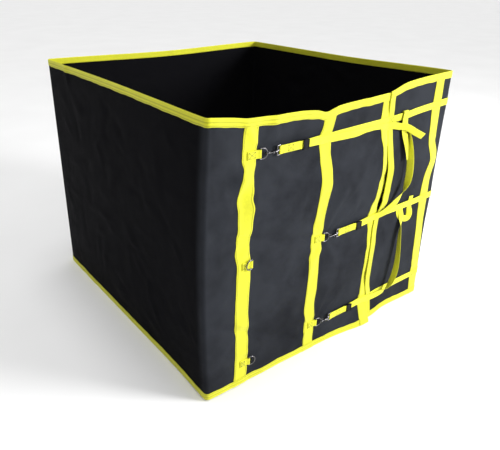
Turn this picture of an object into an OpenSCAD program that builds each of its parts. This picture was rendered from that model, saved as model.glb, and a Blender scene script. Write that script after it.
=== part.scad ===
/* [Load that the cover wraps] */
// Width of the stacked load, along the strapped face
load_w = 1128; // [1000:1:1250]
// Depth of the stacked load
load_d = 1168; // [1000:1:1250]

/* [Mesh sheet] */
// Height of the cover from hem to hem
cover_h = 965; // [940:1:1020]
// Thickness of the coated mesh
mesh_t = 1.2; // [0.8:0.1:2]
// Slack between the load and the mesh
slack = 2; // [2:0.5:6]

/* [Webbing] */
// Width of the upright webbings
upright_w = 50; // [44:1:56]
// Width of the horizontal straps, leads and ring tabs
strap_w = 25; // [24:0.5:25.4]
// Thickness of the webbing
web_t = 1.6; // [1.2:0.1:1.8]
// Visible width of the folded edge bindings
binding_w = 25; // [20:1:30]

/* [Strap levels] */
// Height of the top strap at its hook
top_strap_z = 829; // [800:1:850]
// Height of the middle strap at its hook
middle_strap_z = 468; // [440:1:500]
// Height of the bottom strap at its hook
bottom_strap_z = 110; // [90:1:140]

/* [Positions along the strapped face, from its middle] */
// Centre of the upright that carries three rings
upright_1_x = -422; // [-430:1:-415]
// Centre of the upright that carries two rings
upright_2_x = -113; // [-120:1:-108]
// Centre of the upright at the free end of the inner side
upright_3_x = 184; // [180:1:185]
// Free edge of the flap
flap_x = 212; // [212:1:216]
// Centre of the flap's upright, at the top
upright_4_top_x = 490; // [470:1:510]
// Centre of the flap's upright, at the bottom
upright_4_low_x = 538; // [500:1:538]

/* [Snap hook] */
// Radius of the hook's wire
hook_wire_r = 1.9; // [1.7:0.1:2]
// Length that the bolt draws back
bolt_travel = 7; // [5:0.5:7]
// Distance from the hook's jaw to the swivel eye
hook_reach = 38.2; // [38.2:0.1:40]

/* [D-ring] */
// Radius of the ring's wire
ring_wire_r = 2; // [1.8:0.1:2]
// Half of the ring's height, between wire centres
ring_half_h = 16; // [15.5:0.1:17]

/* [Hidden] */

$fn = 40;
yellow = "#f4f425";
black_mesh = "#2b2c30";
nickel = "#c9cbce";
black_plastic = "#141416";

// The mesh's outer faces
cover_w = load_w + 2 * (slack + mesh_t);
cover_d = load_d + 2 * (slack + mesh_t);
half_w = cover_w / 2;
half_d = cover_d / 2;
// The straps' free ends stand this far proud of the strapped face
reach_out = 43;
// The middle of the cover's depth, so that the whole part is centred on the origin
mid_y = (reach_out - web_t) / 2;

// Every point on the strapped face is given as [x, out, z], with out measured outward from the mesh
hook_out = 9.5;
leg_out = web_t + 3.9;
ring_reach = ring_half_h + 8;
jaw_out = hook_out - 0.5;
ring_tilt = asin((jaw_out - leg_out) / ring_reach);
ring_swing = ring_reach * cos(ring_tilt);

// Leg of each D-ring, and the strap level that it stands at
near_leg_x = -384;
far_leg_x = -82;
free_leg_x = -403;
ring_legs = [
  [near_leg_x, top_strap_z], [far_leg_x, middle_strap_z], [far_leg_x, bottom_strap_z],
  [free_leg_x, middle_strap_z + 3], [free_leg_x, bottom_strap_z - 20]
];
folded_back = 170;

// Snap hook, along the strap from the middle of the ring's wire
jaw_r = 5.5;
jaw_x = 1.1;
nose_x = 5;
barrel_x = 13;
barrel_end_x = 34;
barrel_r = 2.9;
bolt_r = 1.7;
bolt_bore_r = 1.75;
bolt_bore_end_x = 32;
bolt_end_x = 18;
bolt_side = jaw_r - 0.5;
stud_x = 16.6;
stud_r = 1.1;
stud_gap = 0.5;
pin_r = 2;
pin_bore_r = 2.05;
eye_wire_r = 1.8;
eye_half_h = 14.7;
eye_end_x = hook_reach + 10.8;

// Webbing lead between the eye and the ladder lock
lead_l = 86;
lock_x = eye_end_x + lead_l;
lock_bar_r = 1.6;
loop_gap = 0.08;

// Ladder lock, from the bar that the lead holds
mid_bar_x = 11;
mid_bar_r = 1.5;
end_bar_x = 21;
end_bar_out = 1.9;
wrap_r = mid_bar_r + 0.3 + web_t / 2;
rail_in = 13.2;
rail_w = 2.6;

// ---------- helpers ----------

// Places children given as [x, out, z] on the strapped face
module on_front() translate([0, mid_y - half_d, 0]) mirror([0, 1, 0]) children();
// The same for the other walls, with x along the wall
module on_left() translate([-half_w, mid_y, 0]) rotate([0, 0, 90]) children();
module on_right() translate([half_w, mid_y, 0]) rotate([0, 0, -90]) children();
module on_back() translate([0, mid_y + half_d, 0]) children();

// A block between two corners
module block(low, high) translate(low) cube(high - low);

// One wall of the mesh, from x0 to x1, between the folds of its bindings
module mesh_wall(x0, x1)
  color(black_mesh) block([x0, -mesh_t, web_t], [x1, 0, cover_h - web_t]);

// A binding folded over the mesh's edge; its inner side stops short of each end by the inset,
// and at a corner its outer side laps the next wall
module binding(x0, x1, inset0, inset1, top) {
  z_fold = top ? cover_h - web_t : 0;
  z_low = top ? cover_h - binding_w : 0;
  lap0 = inset0 > mesh_t ? web_t : 0;
  lap1 = inset1 > mesh_t ? web_t : 0;
  color(yellow) {
    block([x0 - lap0, 0, z_low], [x1 + lap1, web_t, z_low + binding_w]);
    block([x0 + inset0, -mesh_t - web_t, z_low], [x1 - inset1, -mesh_t, z_low + binding_w]);
    block([x0 + inset0, -mesh_t, z_fold], [x1 - inset1, 0, z_fold + web_t]);
  }
}

// An upright webbing, sewn to the mesh between the bindings
module upright(top_x, low_x)
  color(yellow) translate([0, web_t, 0]) rotate([90, 0, 0]) linear_extrude(web_t)
    polygon([
      [low_x - upright_w / 2, binding_w], [low_x + upright_w / 2, binding_w],
      [top_x + upright_w / 2, cover_h - binding_w], [top_x - upright_w / 2, cover_h - binding_w]
    ]);

function unit(v) = v / norm(v);
function tangent(p, i) = unit(p[min(i + 1, len(p) - 1)] - p[max(i - 1, 0)]);
function across(w, t) = unit(w - (w * t) * t);
// Below this, a path runs so nearly straight out from the wall that it has no flat side
steep = 0.4;
// Width directions along a path: flat against the wall, or as before where the path turns outward
function widths(p, w, i = 0) =
  i == len(p) ? [] :
  let (t = tangent(p, i), flat = cross([0, 1, 0], t),
       now = norm(flat) < steep ? across(w, t) : unit(flat) * sign(flat * w))
  concat([now], widths(p, now, i + 1));

// Flat webbing swept along a path of points; lean turns its width from the wall at each point
module ribbon(p, lean, w0 = [0, 0, 1]) {
  flat = widths(p, w0);
  rings = [for (i = [0:len(p) - 1])
    let (t = tangent(p, i), side = cross(t, flat[i]),
         w = flat[i] * cos(lean[i]) + side * sin(lean[i]), n = cross(t, w))
    for (c = [[-1, -1], [1, -1], [1, 1], [-1, 1]]) p[i] + w * c[0] * strap_w / 2 + n * c[1] * web_t / 2];
  last = 4 * (len(p) - 1);
  polyhedron(rings, concat([[3, 2, 1, 0], [last, last + 1, last + 2, last + 3]],
    [for (i = [0:len(p) - 2], k = [0:3]) let (a = 4 * i + k, b = 4 * i + (k + 1) % 4)
      each [[a, b, b + 4], [a, b + 4, a + 4]]]));
}

// A round wire between two points
module wire(a, b, r) {
  d = b - a;
  translate(a) rotate([0, acos(d[2] / norm(d)), atan2(d[1], d[0])]) cylinder(r = r, h = norm(d));
}

// ---------- ring tabs and rings ----------

// A short folded webbing sewn to the upright, with its fold round the ring's leg
module ring_tab(leg, edge_x) {
  back_x = edge_x - 34;
  color(yellow) on_front() difference() {
    union() {
      translate([leg[0], leg_out, leg[1] - strap_w / 2]) cylinder(r = leg_out - web_t, h = strap_w);
      block([back_x, web_t, leg[1] - strap_w / 2], [leg[0], 3 * web_t, leg[1] + strap_w / 2]);
    }
    translate([leg[0], leg_out, leg[1] - strap_w]) cylinder(r = ring_wire_r + loop_gap, h = 2 * strap_w);
  }
}

// A D-ring in the plane of x and z, with its straight leg at the origin
module d_ring_shape() {
  wire([0, 0, -ring_half_h], [0, 0, ring_half_h], ring_wire_r);
  for (side = [-1, 1]) {
    translate([0, 0, side * ring_half_h]) sphere(ring_wire_r);
    wire([0, 0, side * ring_half_h], [8, 0, side * ring_half_h], ring_wire_r);
  }
  translate([8, 0, 0]) rotate([90, 0, 0]) rotate([0, 0, -90])
    rotate_extrude(angle = 180) translate([ring_half_h, 0]) circle(ring_wire_r);
}

// angle turns the ring outward about its leg
module d_ring(leg, angle)
  color(nickel) on_front() translate([leg[0], leg_out, leg[1]]) rotate([0, 0, angle]) d_ring_shape();

// ---------- swivel snap hooks ----------

// Places a hook's own shape: x along the strap from the ring's wire, y outward
module at_hook(k)
  on_front() translate([ring_legs[k][0] + ring_swing, hook_out, ring_legs[k][1]]) children();

module hook_body(k) color(nickel) at_hook(k) {
  slope_x = 9;
  spine = -jaw_r - 0.5;
  translate([jaw_x, -0.5, 0]) rotate([0, 0, 90])
    rotate_extrude(angle = 180) translate([jaw_r, 0]) circle(hook_wire_r);
  wire([jaw_x, bolt_side, 0], [nose_x, bolt_side, 0], hook_wire_r);
  wire([jaw_x, spine, 0], [slope_x, spine, 0], hook_wire_r);
  translate([slope_x, spine, 0]) sphere(hook_wire_r);
  wire([slope_x, spine, 0], [barrel_x + 2, -1, 0], hook_wire_r);
  difference() {
    union() {
      for (side = [0, bolt_side])
        wire([barrel_x, side, 0], [barrel_end_x, side, 0], barrel_r);
      block([barrel_x, 0, -barrel_r], [barrel_end_x, bolt_side, barrel_r]);
    }
    wire([barrel_x - 1, bolt_side, 0], [bolt_bore_end_x, bolt_side, 0], bolt_bore_r);
    block([stud_x - stud_r - stud_gap, bolt_side, -stud_r - stud_gap],
          [stud_x + stud_r + bolt_travel + 2 * stud_gap, bolt_side + 2 * barrel_r, stud_r + stud_gap]);
  }
  wire([barrel_end_x, 0, 0], [barrel_end_x + 9, 0, 0], pin_r);
  wire([barrel_end_x + 8.4, 0, 0], [barrel_end_x + 9.9, 0, 0], 3.3);
}

module hook_bolt(k) color(nickel) at_hook(k) {
  wire([nose_x + 0.3, bolt_side, 0], [bolt_end_x, bolt_side, 0], bolt_r);
  wire([stud_x, bolt_side, 0], [stud_x, bolt_side + 4, 0], stud_r);
  wire([stud_x, bolt_side + 3.6, 0], [stud_x, bolt_side + 5.2, 0], 2.4);
}

// A coil of fine wire behind the bolt
module hook_spring(k) color(nickel) at_hook(k) {
  turns = 9;
  steps = 10;
  sides = 5;
  wire_r = 0.3;
  coil_r = 1.25;
  x0 = bolt_end_x + 0.5;
  x1 = bolt_bore_end_x - 0.5;
  count = turns * steps;
  points = [for (i = [0:count]) let (a = 360 * i / steps)
    for (s = [0:sides - 1]) let (b = 360 * s / sides, r = coil_r + wire_r * cos(b))
      [x0 + (x1 - x0) * i / count + wire_r * sin(b), bolt_side + r * cos(a), r * sin(a)]];
  last = count * sides;
  polyhedron(points, concat([[for (s = [0:sides - 1]) s], [for (s = [sides - 1:-1:0]) last + s]],
    [for (i = [0:count - 1], s = [0:sides - 1]) let (a = i * sides + s, b = i * sides + (s + 1) % sides)
      each [[a, a + sides, b + sides], [a, b + sides, b]]]));
}

// The flat eye that turns on the hook's pin and holds the lead
module hook_eye(k) color(nickel) at_hook(k) difference() {
  union() {
    wire([barrel_end_x + 0.4, 0, 0], [barrel_end_x + 8, 0, 0], 3.8);
    for (x = [hook_reach, eye_end_x]) wire([x, 0, -eye_half_h], [x, 0, eye_half_h], eye_wire_r);
    for (side = [-1, 1]) {
      wire([hook_reach, 0, side * eye_half_h], [eye_end_x, 0, side * eye_half_h], eye_wire_r);
      for (x = [hook_reach, eye_end_x]) translate([x, 0, side * eye_half_h]) sphere(eye_wire_r);
    }
  }
  wire([barrel_end_x, 0, 0], [barrel_end_x + 9, 0, 0], pin_bore_r);
}

// ---------- leads and ladder locks ----------

// A folded and sewn webbing with a loop at each end
module hook_lead(k) {
  eye_bore = eye_wire_r + 0.1;
  lock_bore = lock_bar_r + loop_gap;
  color(yellow) at_hook(k) difference() {
    union() {
      for (end = [[eye_end_x, eye_bore], [lock_x, lock_bore]])
        translate([end[0], 0, -strap_w / 2]) cylinder(r = end[1] + web_t, h = strap_w);
      block([eye_end_x, -web_t, -strap_w / 2], [lock_x, web_t, strap_w / 2]);
    }
    for (end = [[eye_end_x, eye_bore], [lock_x, lock_bore]])
      translate([end[0], 0, -strap_w]) cylinder(r = end[1], h = 2 * strap_w);
  }
}

// Two rails with three cross bars, a front plate over the webbing and a lifting lip
module ladder_lock(k) color(black_plastic) at_hook(k) translate([lock_x, 0, 0]) {
  for (z = [-rail_in - rail_w, rail_in]) translate([0, 0, z]) linear_extrude(rail_w)
    polygon([[-2.6, -1.6], [-1.6, -2.3], [12, -2.1], [20, 0], [26, 4.2], [28.4, 7.4], [27.2, 8.4], [23, 6.9],
             [16, 5.9], [7, 5.7], [4.6, 4.4], [3.4, 2.5], [-1.6, 2.3], [-2.6, 1.6]]);
  for (bar = [[0, 0, lock_bar_r], [mid_bar_x, 0, mid_bar_r], [end_bar_x, end_bar_out, mid_bar_r]])
    translate([bar[0], bar[1], -rail_in]) cylinder(r = bar[2], h = 2 * rail_in);
  translate([0, 0, -rail_in]) linear_extrude(2 * rail_in) {
    polygon([[end_bar_x, end_bar_out + 1.4], [end_bar_x + 1, end_bar_out - 1], [28.2, 7.4], [27.2, 8.3]]);
    polygon([[5.6, 3.8], [5.6, 4.6], [7.2, 5.4], [16, 5.6], [23, 6.6], [25, 6.2], [23, 4.9], [17, 4.1]]);
  }
}

// ---------- main straps ----------

on_web = 1.5 * web_t + 0.05;
side_web = web_t / 2 + 0.05;
upright_mid_x = (upright_4_top_x + upright_4_low_x) / 2;
// Length of each strap that is sewn round the corner, on the side wall
sewn_round = 130;
tuck_x = 296;

// The webbing's way through the ladder lock: under the middle bar, round it, and out beneath the end bar
function lock_path(k) =
  let (x = ring_legs[k][0] + ring_swing + lock_x, z = ring_legs[k][1], o = hook_out)
  concat(
    [[x + 17, o - wrap_r, z], [x + mid_bar_x, o - wrap_r, z]],
    [for (a = [-120:-30:-330]) [x + mid_bar_x + wrap_r * cos(a), o + wrap_r * sin(a), z]],
    [[x + 13.9, o + 0.3, z], [x + 14.9, o - 0.5, z], [x + 17, o - 0.68, z], [x + 21, o - 0.68, z]]);

// From the side wall round the corner, along the flap and down to the ladder lock;
// lift is the room left behind it where the middle strap's tail is tucked through
function main_path(k, z_flap, z_upright, z_corner, lift) =
  let (x = ring_legs[k][0] + ring_swing + lock_x, slope = (z_upright - z_flap) / (upright_mid_x - flap_x))
  [[half_w + side_web, -sewn_round, z_corner], [half_w + side_web, 0, z_corner],
   [half_w + side_web / 2, on_web * 0.7, z_corner], [half_w - side_web, on_web, z_corner],
   [upright_mid_x, on_web, z_upright],
   for (step = [[64, 0], [36, lift], [-32, lift], [-60, 0]])
     [tuck_x + step[0], on_web + step[1], z_flap + slope * (tuck_x + step[0] - flap_x)],
   [flap_x, on_web, z_flap], [flap_x - 12, on_web + 0.6, z_flap],
   [x + 30, hook_out - wrap_r, ring_legs[k][1]]];

// Free end of each strap: the doubled run over the strap, then the end as it was tucked.
// Each list of leans gives how far the webbing turns from flat at each of its tail's points
tail_1 = [[-150, 8.2, 826], [-60, 7.6, 823], [40, 6.6, 820], [140, 5.7, 818], [196, 6.2, 818],
          [226, 8.4, 818], [256, 14, 815], [290, 21, 804], [336, 28, 780], [380, 33, 756]];
lean_1 = [0, 0, 0, 0, 0, 0, -2, -4, -6, -8];
tail_2 = [[150, 9, 470], [190, 10, 474], [220, 14, 482], [248, 23, 498], [274, 31, 522],
          [300, 37, 556], [319, 39, 600], [326, 34, 652], [330, 24, 704], [330, 13, 752], [324, 5.5, 790],
          [308, 2.6, 822], [294, 2.5, 848], [290, 2.5, 862], [290, 3.4, 869], [290, 6.5, 872.5],
          [290, 9.6, 869], [289, 10.6, 858], [284, 11.2, 836], [284, 12.2, 808], [290, 18, 772],
          [300, 25, 735], [305, 28, 714]];
lean_2 = [0, 0, -5, -10, -15, -15, -15, -15, -10, -5, 0, 0, 0, 0, 0, 0, 0, 0, 0, 0, 5, 10, 10];
tail_3 = [[140, 8.4, 109], [190, 7, 106], [240, 7.6, 102], [272, 10, 103], [298, 15, 109],
          [317, 21, 123], [331, 27, 150], [340, 30, 185], [344, 31, 224], [345, 29, 285], [346, 22, 345],
          [350, 15, 385], [352, 10, 420]];
lean_3 = [0, 0, 0, 0, 5, 10, 15, 10, -5, -20, -30, -30, -30];

module strap(k, rise, lift, tail, lean) {
  z = ring_legs[k][1];
  before = concat(main_path(k, z + rise[0], z + rise[1], z + rise[2], lift), lock_path(k));
  color(yellow) on_front() ribbon(concat(before, tail), concat([for (p = before) 0], lean));
}

// ---------- nodes ----------

mesh_end = upright_3_x + upright_w / 2;
flap_mesh_x = flap_x + web_t;
inner_w = half_w - mesh_t;
corner = web_t + mesh_t;
// The two free rings' tabs lie this much further in on their upright
slack_tab = 9;

module mesh_front() on_front() mesh_wall(-inner_w, mesh_end);
module mesh_left() on_left() mesh_wall(-half_d, half_d);
module mesh_back() on_back() mesh_wall(-inner_w, inner_w);
module mesh_right() on_right() mesh_wall(-half_d, half_d);
module mesh_flap() on_front() mesh_wall(flap_mesh_x, inner_w);
module top_binding_front() on_front() binding(-half_w, mesh_end, corner, 0, true);
module top_binding_left() on_left() binding(-half_d, half_d, mesh_t, mesh_t, true);
module top_binding_back() on_back() binding(-half_w, half_w, corner, corner, true);
module top_binding_right() on_right() binding(-half_d, half_d, mesh_t, mesh_t, true);
module top_binding_flap() on_front() binding(flap_x, half_w, 0, corner, true);
module hem_front() on_front() binding(-half_w, mesh_end, corner, 0, false);
module hem_left() on_left() binding(-half_d, half_d, mesh_t, mesh_t, false);
module hem_back() on_back() binding(-half_w, half_w, corner, corner, false);
module hem_right() on_right() binding(-half_d, half_d, mesh_t, mesh_t, false);
module hem_flap() on_front() binding(flap_x, half_w, 0, corner, false);
module flap_edge_binding() color(yellow) on_front() {
  for (out = [0, -mesh_t - web_t])
    block([flap_x, out, binding_w], [flap_x + binding_w, out + web_t, cover_h - binding_w]);
  block([flap_x, -mesh_t, binding_w], [flap_mesh_x, 0, cover_h - binding_w]);
}
module upright_1() on_front() upright(upright_1_x, upright_1_x);
module upright_2() on_front() upright(upright_2_x, upright_2_x);
module upright_3() on_front() upright(upright_3_x, upright_3_x);
module upright_4() on_front() upright(upright_4_top_x, upright_4_low_x);
module ring_tab_1() ring_tab(ring_legs[0], upright_1_x + upright_w / 2);
module ring_tab_2() ring_tab(ring_legs[1], upright_2_x + upright_w / 2);
module ring_tab_3() ring_tab(ring_legs[2], upright_2_x + upright_w / 2);
module ring_tab_4() ring_tab(ring_legs[3], upright_1_x + upright_w / 2 - slack_tab);
module ring_tab_5() ring_tab(ring_legs[4], upright_1_x + upright_w / 2 - slack_tab);
module d_ring_1() d_ring(ring_legs[0], ring_tilt);
module d_ring_2() d_ring(ring_legs[1], ring_tilt);
module d_ring_3() d_ring(ring_legs[2], ring_tilt);
module d_ring_4() d_ring(ring_legs[3], folded_back);
module d_ring_5() d_ring(ring_legs[4], ring_tilt);
// Each strap's rise above its hook, at the flap's edge, at the flap's upright and at the corner
module strap_1() strap(0, [9, 31, 33], 2.5, tail_1, lean_1);
module strap_2() strap(1, [6, 8, 10], 0, tail_2, lean_2);
module strap_3() strap(2, [0, 0, 4], 0, tail_3, lean_3);

mesh_front();
mesh_left();
mesh_back();
mesh_right();
mesh_flap();
top_binding_front();
top_binding_left();
top_binding_back();
top_binding_right();
top_binding_flap();
hem_front();
hem_left();
hem_back();
hem_right();
hem_flap();
flap_edge_binding();
upright_1();
upright_2();
upright_3();
upright_4();
ring_tab_1();
ring_tab_2();
ring_tab_3();
ring_tab_4();
ring_tab_5();
d_ring_1();
d_ring_2();
d_ring_3();
d_ring_4();
d_ring_5();
hook_body(0);  // hook_body_1
hook_body(1);  // hook_body_2
hook_body(2);  // hook_body_3
hook_bolt(0);  // hook_bolt_1
hook_bolt(1);  // hook_bolt_2
hook_bolt(2);  // hook_bolt_3
hook_spring(0);  // hook_spring_1
hook_spring(1);  // hook_spring_2
hook_spring(2);  // hook_spring_3
hook_eye(0);  // hook_eye_1
hook_eye(1);  // hook_eye_2
hook_eye(2);  // hook_eye_3
hook_lead(0);  // hook_lead_1
hook_lead(1);  // hook_lead_2
hook_lead(2);  // hook_lead_3
ladder_lock(0);  // ladder_lock_1
ladder_lock(1);  // ladder_lock_2
ladder_lock(2);  // ladder_lock_3
strap_1();
strap_2();
strap_3();
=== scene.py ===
import math

import bmesh
import bpy
import numpy as np
from mathutils import Matrix, Vector


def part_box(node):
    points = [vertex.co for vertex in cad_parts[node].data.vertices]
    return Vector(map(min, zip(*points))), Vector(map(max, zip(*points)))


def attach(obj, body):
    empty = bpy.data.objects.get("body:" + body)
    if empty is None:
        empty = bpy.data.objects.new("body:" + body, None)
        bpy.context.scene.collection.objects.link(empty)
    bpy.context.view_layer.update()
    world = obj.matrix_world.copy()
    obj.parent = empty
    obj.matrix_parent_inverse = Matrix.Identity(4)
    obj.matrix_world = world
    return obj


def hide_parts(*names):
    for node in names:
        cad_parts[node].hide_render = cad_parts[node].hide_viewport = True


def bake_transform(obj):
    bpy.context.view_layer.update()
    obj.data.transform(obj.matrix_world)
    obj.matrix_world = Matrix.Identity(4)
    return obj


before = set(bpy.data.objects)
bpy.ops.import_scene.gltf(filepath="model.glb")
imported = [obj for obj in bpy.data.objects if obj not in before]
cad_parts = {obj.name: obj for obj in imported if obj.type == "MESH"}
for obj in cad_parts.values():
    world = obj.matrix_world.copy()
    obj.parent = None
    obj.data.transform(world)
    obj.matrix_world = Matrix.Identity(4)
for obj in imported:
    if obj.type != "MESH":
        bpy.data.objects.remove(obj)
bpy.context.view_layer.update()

MM = 0.001

# Cloth thicknesses, the wrap's height, and where its two free ends lie along x on the strapped face
MESH_T = 1.2 * MM
WEB = 1.6 * MM
COVER_H = 0.965
END_X = 0.209
FLAP_X = 0.212

# The mesh's outer faces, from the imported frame
half_w = MESH_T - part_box("mesh_front")[0].x
y_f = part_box("mesh_front")[0].y
y_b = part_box("mesh_back")[1].y


def link(ob):
    bpy.context.scene.collection.objects.link(ob)
    return ob


# ------------------------------------------------------------------ camera
def make_camera():
    """The photo's viewpoint: angles, lens and place were solved from seven corners of the wrapped load."""
    az, el, roll = (math.radians(a) for a in (-37.2528, 23.9656, 0.5988))
    back = Vector((math.sin(az) * math.cos(el), -math.cos(az) * math.cos(el), math.sin(el)))
    right = Vector((math.cos(az), math.sin(az), 0.0))
    up = back.cross(right)
    data = bpy.data.cameras.new("camera")
    data.sensor_width = 36.0
    data.lens = 37.7536
    data.shift_x, data.shift_y = 0.042, -0.03708
    data.clip_start, data.clip_end = 0.05, 60
    across = right * math.cos(roll) + up * math.sin(roll)
    upward = up * math.cos(roll) - right * math.sin(roll)
    turned = Matrix((across, upward, back)).transposed().to_4x4()
    cam = link(bpy.data.objects.new("camera", data))
    cam.matrix_world = Matrix.Translation((-1.3241, -1.6620, 1.3018)) @ turned
    bpy.context.scene.camera = cam


make_camera()


# ------------------------------------------------------------------ small maths
def pchip(x, xs, ys):
    """Smooth interpolation through points, with no overshoot. ys may have a second axis."""
    xs, ys = np.asarray(xs, float), np.asarray(ys, float)
    h = np.diff(xs)
    x = np.clip(np.asarray(x, float), xs[0], xs[-1])
    i = np.clip(np.searchsorted(xs, x, side="right") - 1, 0, len(xs) - 2)
    t = (x - xs[i]) / h[i]
    if ys.ndim > 1:
        h, t = h[:, None], t[:, None]
    d = (ys[1:] - ys[:-1]) / h
    w1, w2 = 2 * h[1:] + h[:-1], h[1:] + 2 * h[:-1]
    with np.errstate(divide="ignore", invalid="ignore"):
        inner = (w1 + w2) / (w1 / d[:-1] + w2 / d[1:])
    m = np.zeros_like(ys)
    m[1:-1] = np.where(d[1:] * d[:-1] > 0, inner, 0)
    return ((1 + 2 * t) * (1 - t) ** 2 * ys[i] + t * (1 - t) ** 2 * h[i] * m[i]
            + t * t * (3 - 2 * t) * ys[i + 1] + t * t * (t - 1) * h[i] * m[i + 1])


def curve(x, pts):
    """pchip through (position, value) pairs given in mm, for x in metres."""
    p = sorted(pts)
    return pchip(np.asarray(x) / MM, [a for a, _ in p], [b for _, b in p]) * MM


def step(x, a, b):
    """0 up to a, 1 from b, and a smooth rise between them."""
    t = np.clip((np.asarray(x, float) - a) / (b - a), 0, 1)
    return t * t * (3 - 2 * t)


def bump(x, centre, half, soft):
    """1 inside centre +- half, falling to 0 over soft."""
    return 1 - step(np.abs(np.asarray(x, float) - centre), half, half + soft)


def smoothed(a, cells):
    """A list of values with its small bumps smoothed away."""
    k = np.exp(-0.5 * (np.arange(-3 * cells, 3 * cells + 1) / cells) ** 2)
    return np.convolve(np.pad(a, 3 * cells, "edge"), k / k.sum(), "valid")


def unit(a):
    return a / (np.linalg.norm(a, axis=-1, keepdims=True) + 1e-12)


def run_along(points):
    """Distance along a polyline at each of its points."""
    return np.concatenate([[0], np.cumsum(np.linalg.norm(np.diff(points, axis=0), axis=1))])


# ------------------------------------------------------------------ how far the cloth stands out
# The strapped face has columns of (height, outward) pairs at chosen x, all in mm
LOW_LEFT = [(0, 2), (50, 1), (90, 0), (130, 1), (220, 4), (320, 6), (400, 4), (471, 0)]
INNER = [
    (-567, [(0, 0), (965, 0)]),
    (-500, [(0, 2), (90, 2), (300, 5), (470, 4), (680, 7), (829, 2), (900, 4), (965, 3)]),
    (-448, LOW_LEFT + [(540, 4), (600, 6), (640, 5), (680, 2), (715, 2), (740, 7), (775, 15), (805, 13),
                       (829, 6), (870, 4), (965, 6)]),
    (-422, LOW_LEFT + [(540, 4), (600, 8), (640, 10), (680, 10), (715, 9), (745, 8), (775, 7), (805, 5),
                       (829, 0), (880, 6), (965, 7)]),
    (-396, LOW_LEFT + [(540, 5), (600, 10), (640, 15), (680, 18), (715, 17), (745, 8), (775, 1), (805, 0),
                       (829, 0), (880, 6), (965, 7)]),
    (-340, [(0, 4), (90, 3), (220, 6), (330, 8), (430, 6), (520, 8), (620, 14), (700, 15), (770, 8), (829, 0),
            (880, 9), (965, 10)]),
    (-230, [(0, 4), (110, 4), (220, 7), (330, 9), (468, 7), (560, 14), (650, 20), (720, 20), (780, 10),
            (829, 1), (880, 11), (965, 13)]),
    (-160, [(0, 4), (110, 2), (200, 4), (300, 8), (400, 5), (468, 2), (560, 11), (640, 21), (700, 24),
            (770, 12), (831, 2), (890, 14), (965, 15)]),
    (-113, [(0, 3), (50, 2), (110, 0), (204, 2), (277, 7), (353, 6), (425, 3), (468, 0), (500, 3), (561, 9),
            (624, 17), (679, 25), (718, 21), (782, 8), (832, 2), (870, 10), (900, 15), (965, 15)]),
    (-20, [(0, 5), (60, 3), (110, 0), (200, 5), (290, 10), (350, 9), (420, 4), (468, 0), (520, 7), (600, 20),
           (680, 29), (730, 24), (790, 10), (834, 2), (880, 9), (965, 12)]),
    (90, [(0, 16), (60, 7), (110, 0), (200, 6), (290, 11), (350, 10), (420, 5), (472, 0), (520, 9), (590, 23),
          (660, 30), (730, 22), (790, 9), (836, 1), (880, 6), (965, 9)]),
    (152, [(0, 26), (60, 10), (110, 0), (200, 4), (290, 8), (350, 8), (420, 4), (473, 0), (520, 8), (580, 24),
           (620, 33), (660, 37), (720, 31), (765, 17), (805, 6), (837, 0.5), (870, 3), (965, 5)]),
    (184, [(0, 28), (30, 20), (64, 11), (110, 0.5), (141, 1.5), (215, 2), (290, 6), (342, 7), (388, 6),
           (430, 3), (474, 0), (510, 4), (560, 14), (610, 23), (660, 26), (710, 22), (755, 12), (800, 4),
           (838, 0), (870, 1), (965, 3)]),
    (209, [(0, 28), (30, 19), (64, 11), (110, 0.5), (141, 1), (215, 0.5), (290, 3), (342, 4), (388, 4),
           (430, 2), (474, 0), (510, 1), (560, 9), (610, 15), (660, 17), (710, 13), (755, 7), (800, 2),
           (838, 0), (870, 1), (965, 3)]),
]
FLAP_EDGE = [(0, 11), (49, 7), (97, 2), (110, 4.8), (128, 6), (150, 7), (200, 9), (250, 11), (300, 13),
             (360, 13), (410, 10), (450, 7), (474, 5), (505, 9), (540, 17), (580, 24), (650, 27), (716, 18),
             (770, 9), (815, 3), (838, 0.5), (860, 3), (890, 7), (965, 9)]
FLAP = [
    (180, FLAP_EDGE),
    (212, FLAP_EDGE),
    (240, [(0, 11), (49, 7), (110, 0.5), (126, 3), (150, 5), (200, 7), (250, 9), (300, 11), (360, 12), (410, 8),
           (450, 5), (474, 3), (505, 11), (540, 21), (580, 28), (650, 31), (716, 21), (770, 9), (815, 3),
           (838, 0.5), (860, 3), (890, 7), (965, 9)]),
    (290, [(0, 9), (49, 6), (110, 0.5), (180, 3), (260, 7), (330, 9), (400, 6), (474, 1.5), (530, 10),
           (590, 19), (650, 21), (720, 14), (790, 4), (845, 0.5), (890, 3), (965, 5)]),
    (400, [(0, 4), (49, 3), (112, 0.5), (180, 3), (260, 6), (330, 7), (400, 4), (475, 0.5), (540, 7),
           (600, 15), (650, 17), (720, 11), (800, 4), (853, 0.5), (900, 2), (965, 3)]),
    (514, [(0, 1), (110, 0.3), (200, 2), (300, 3), (400, 2), (476, 0.3), (520, 2), (575, 6), (626, 12),
           (681, 6), (757, 3), (860, 0.3), (900, 1), (965, 1)]),
    (567, [(0, 0), (965, 0)]),
]
rng = np.random.RandomState(11)
CELL = 4 * MM


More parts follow.
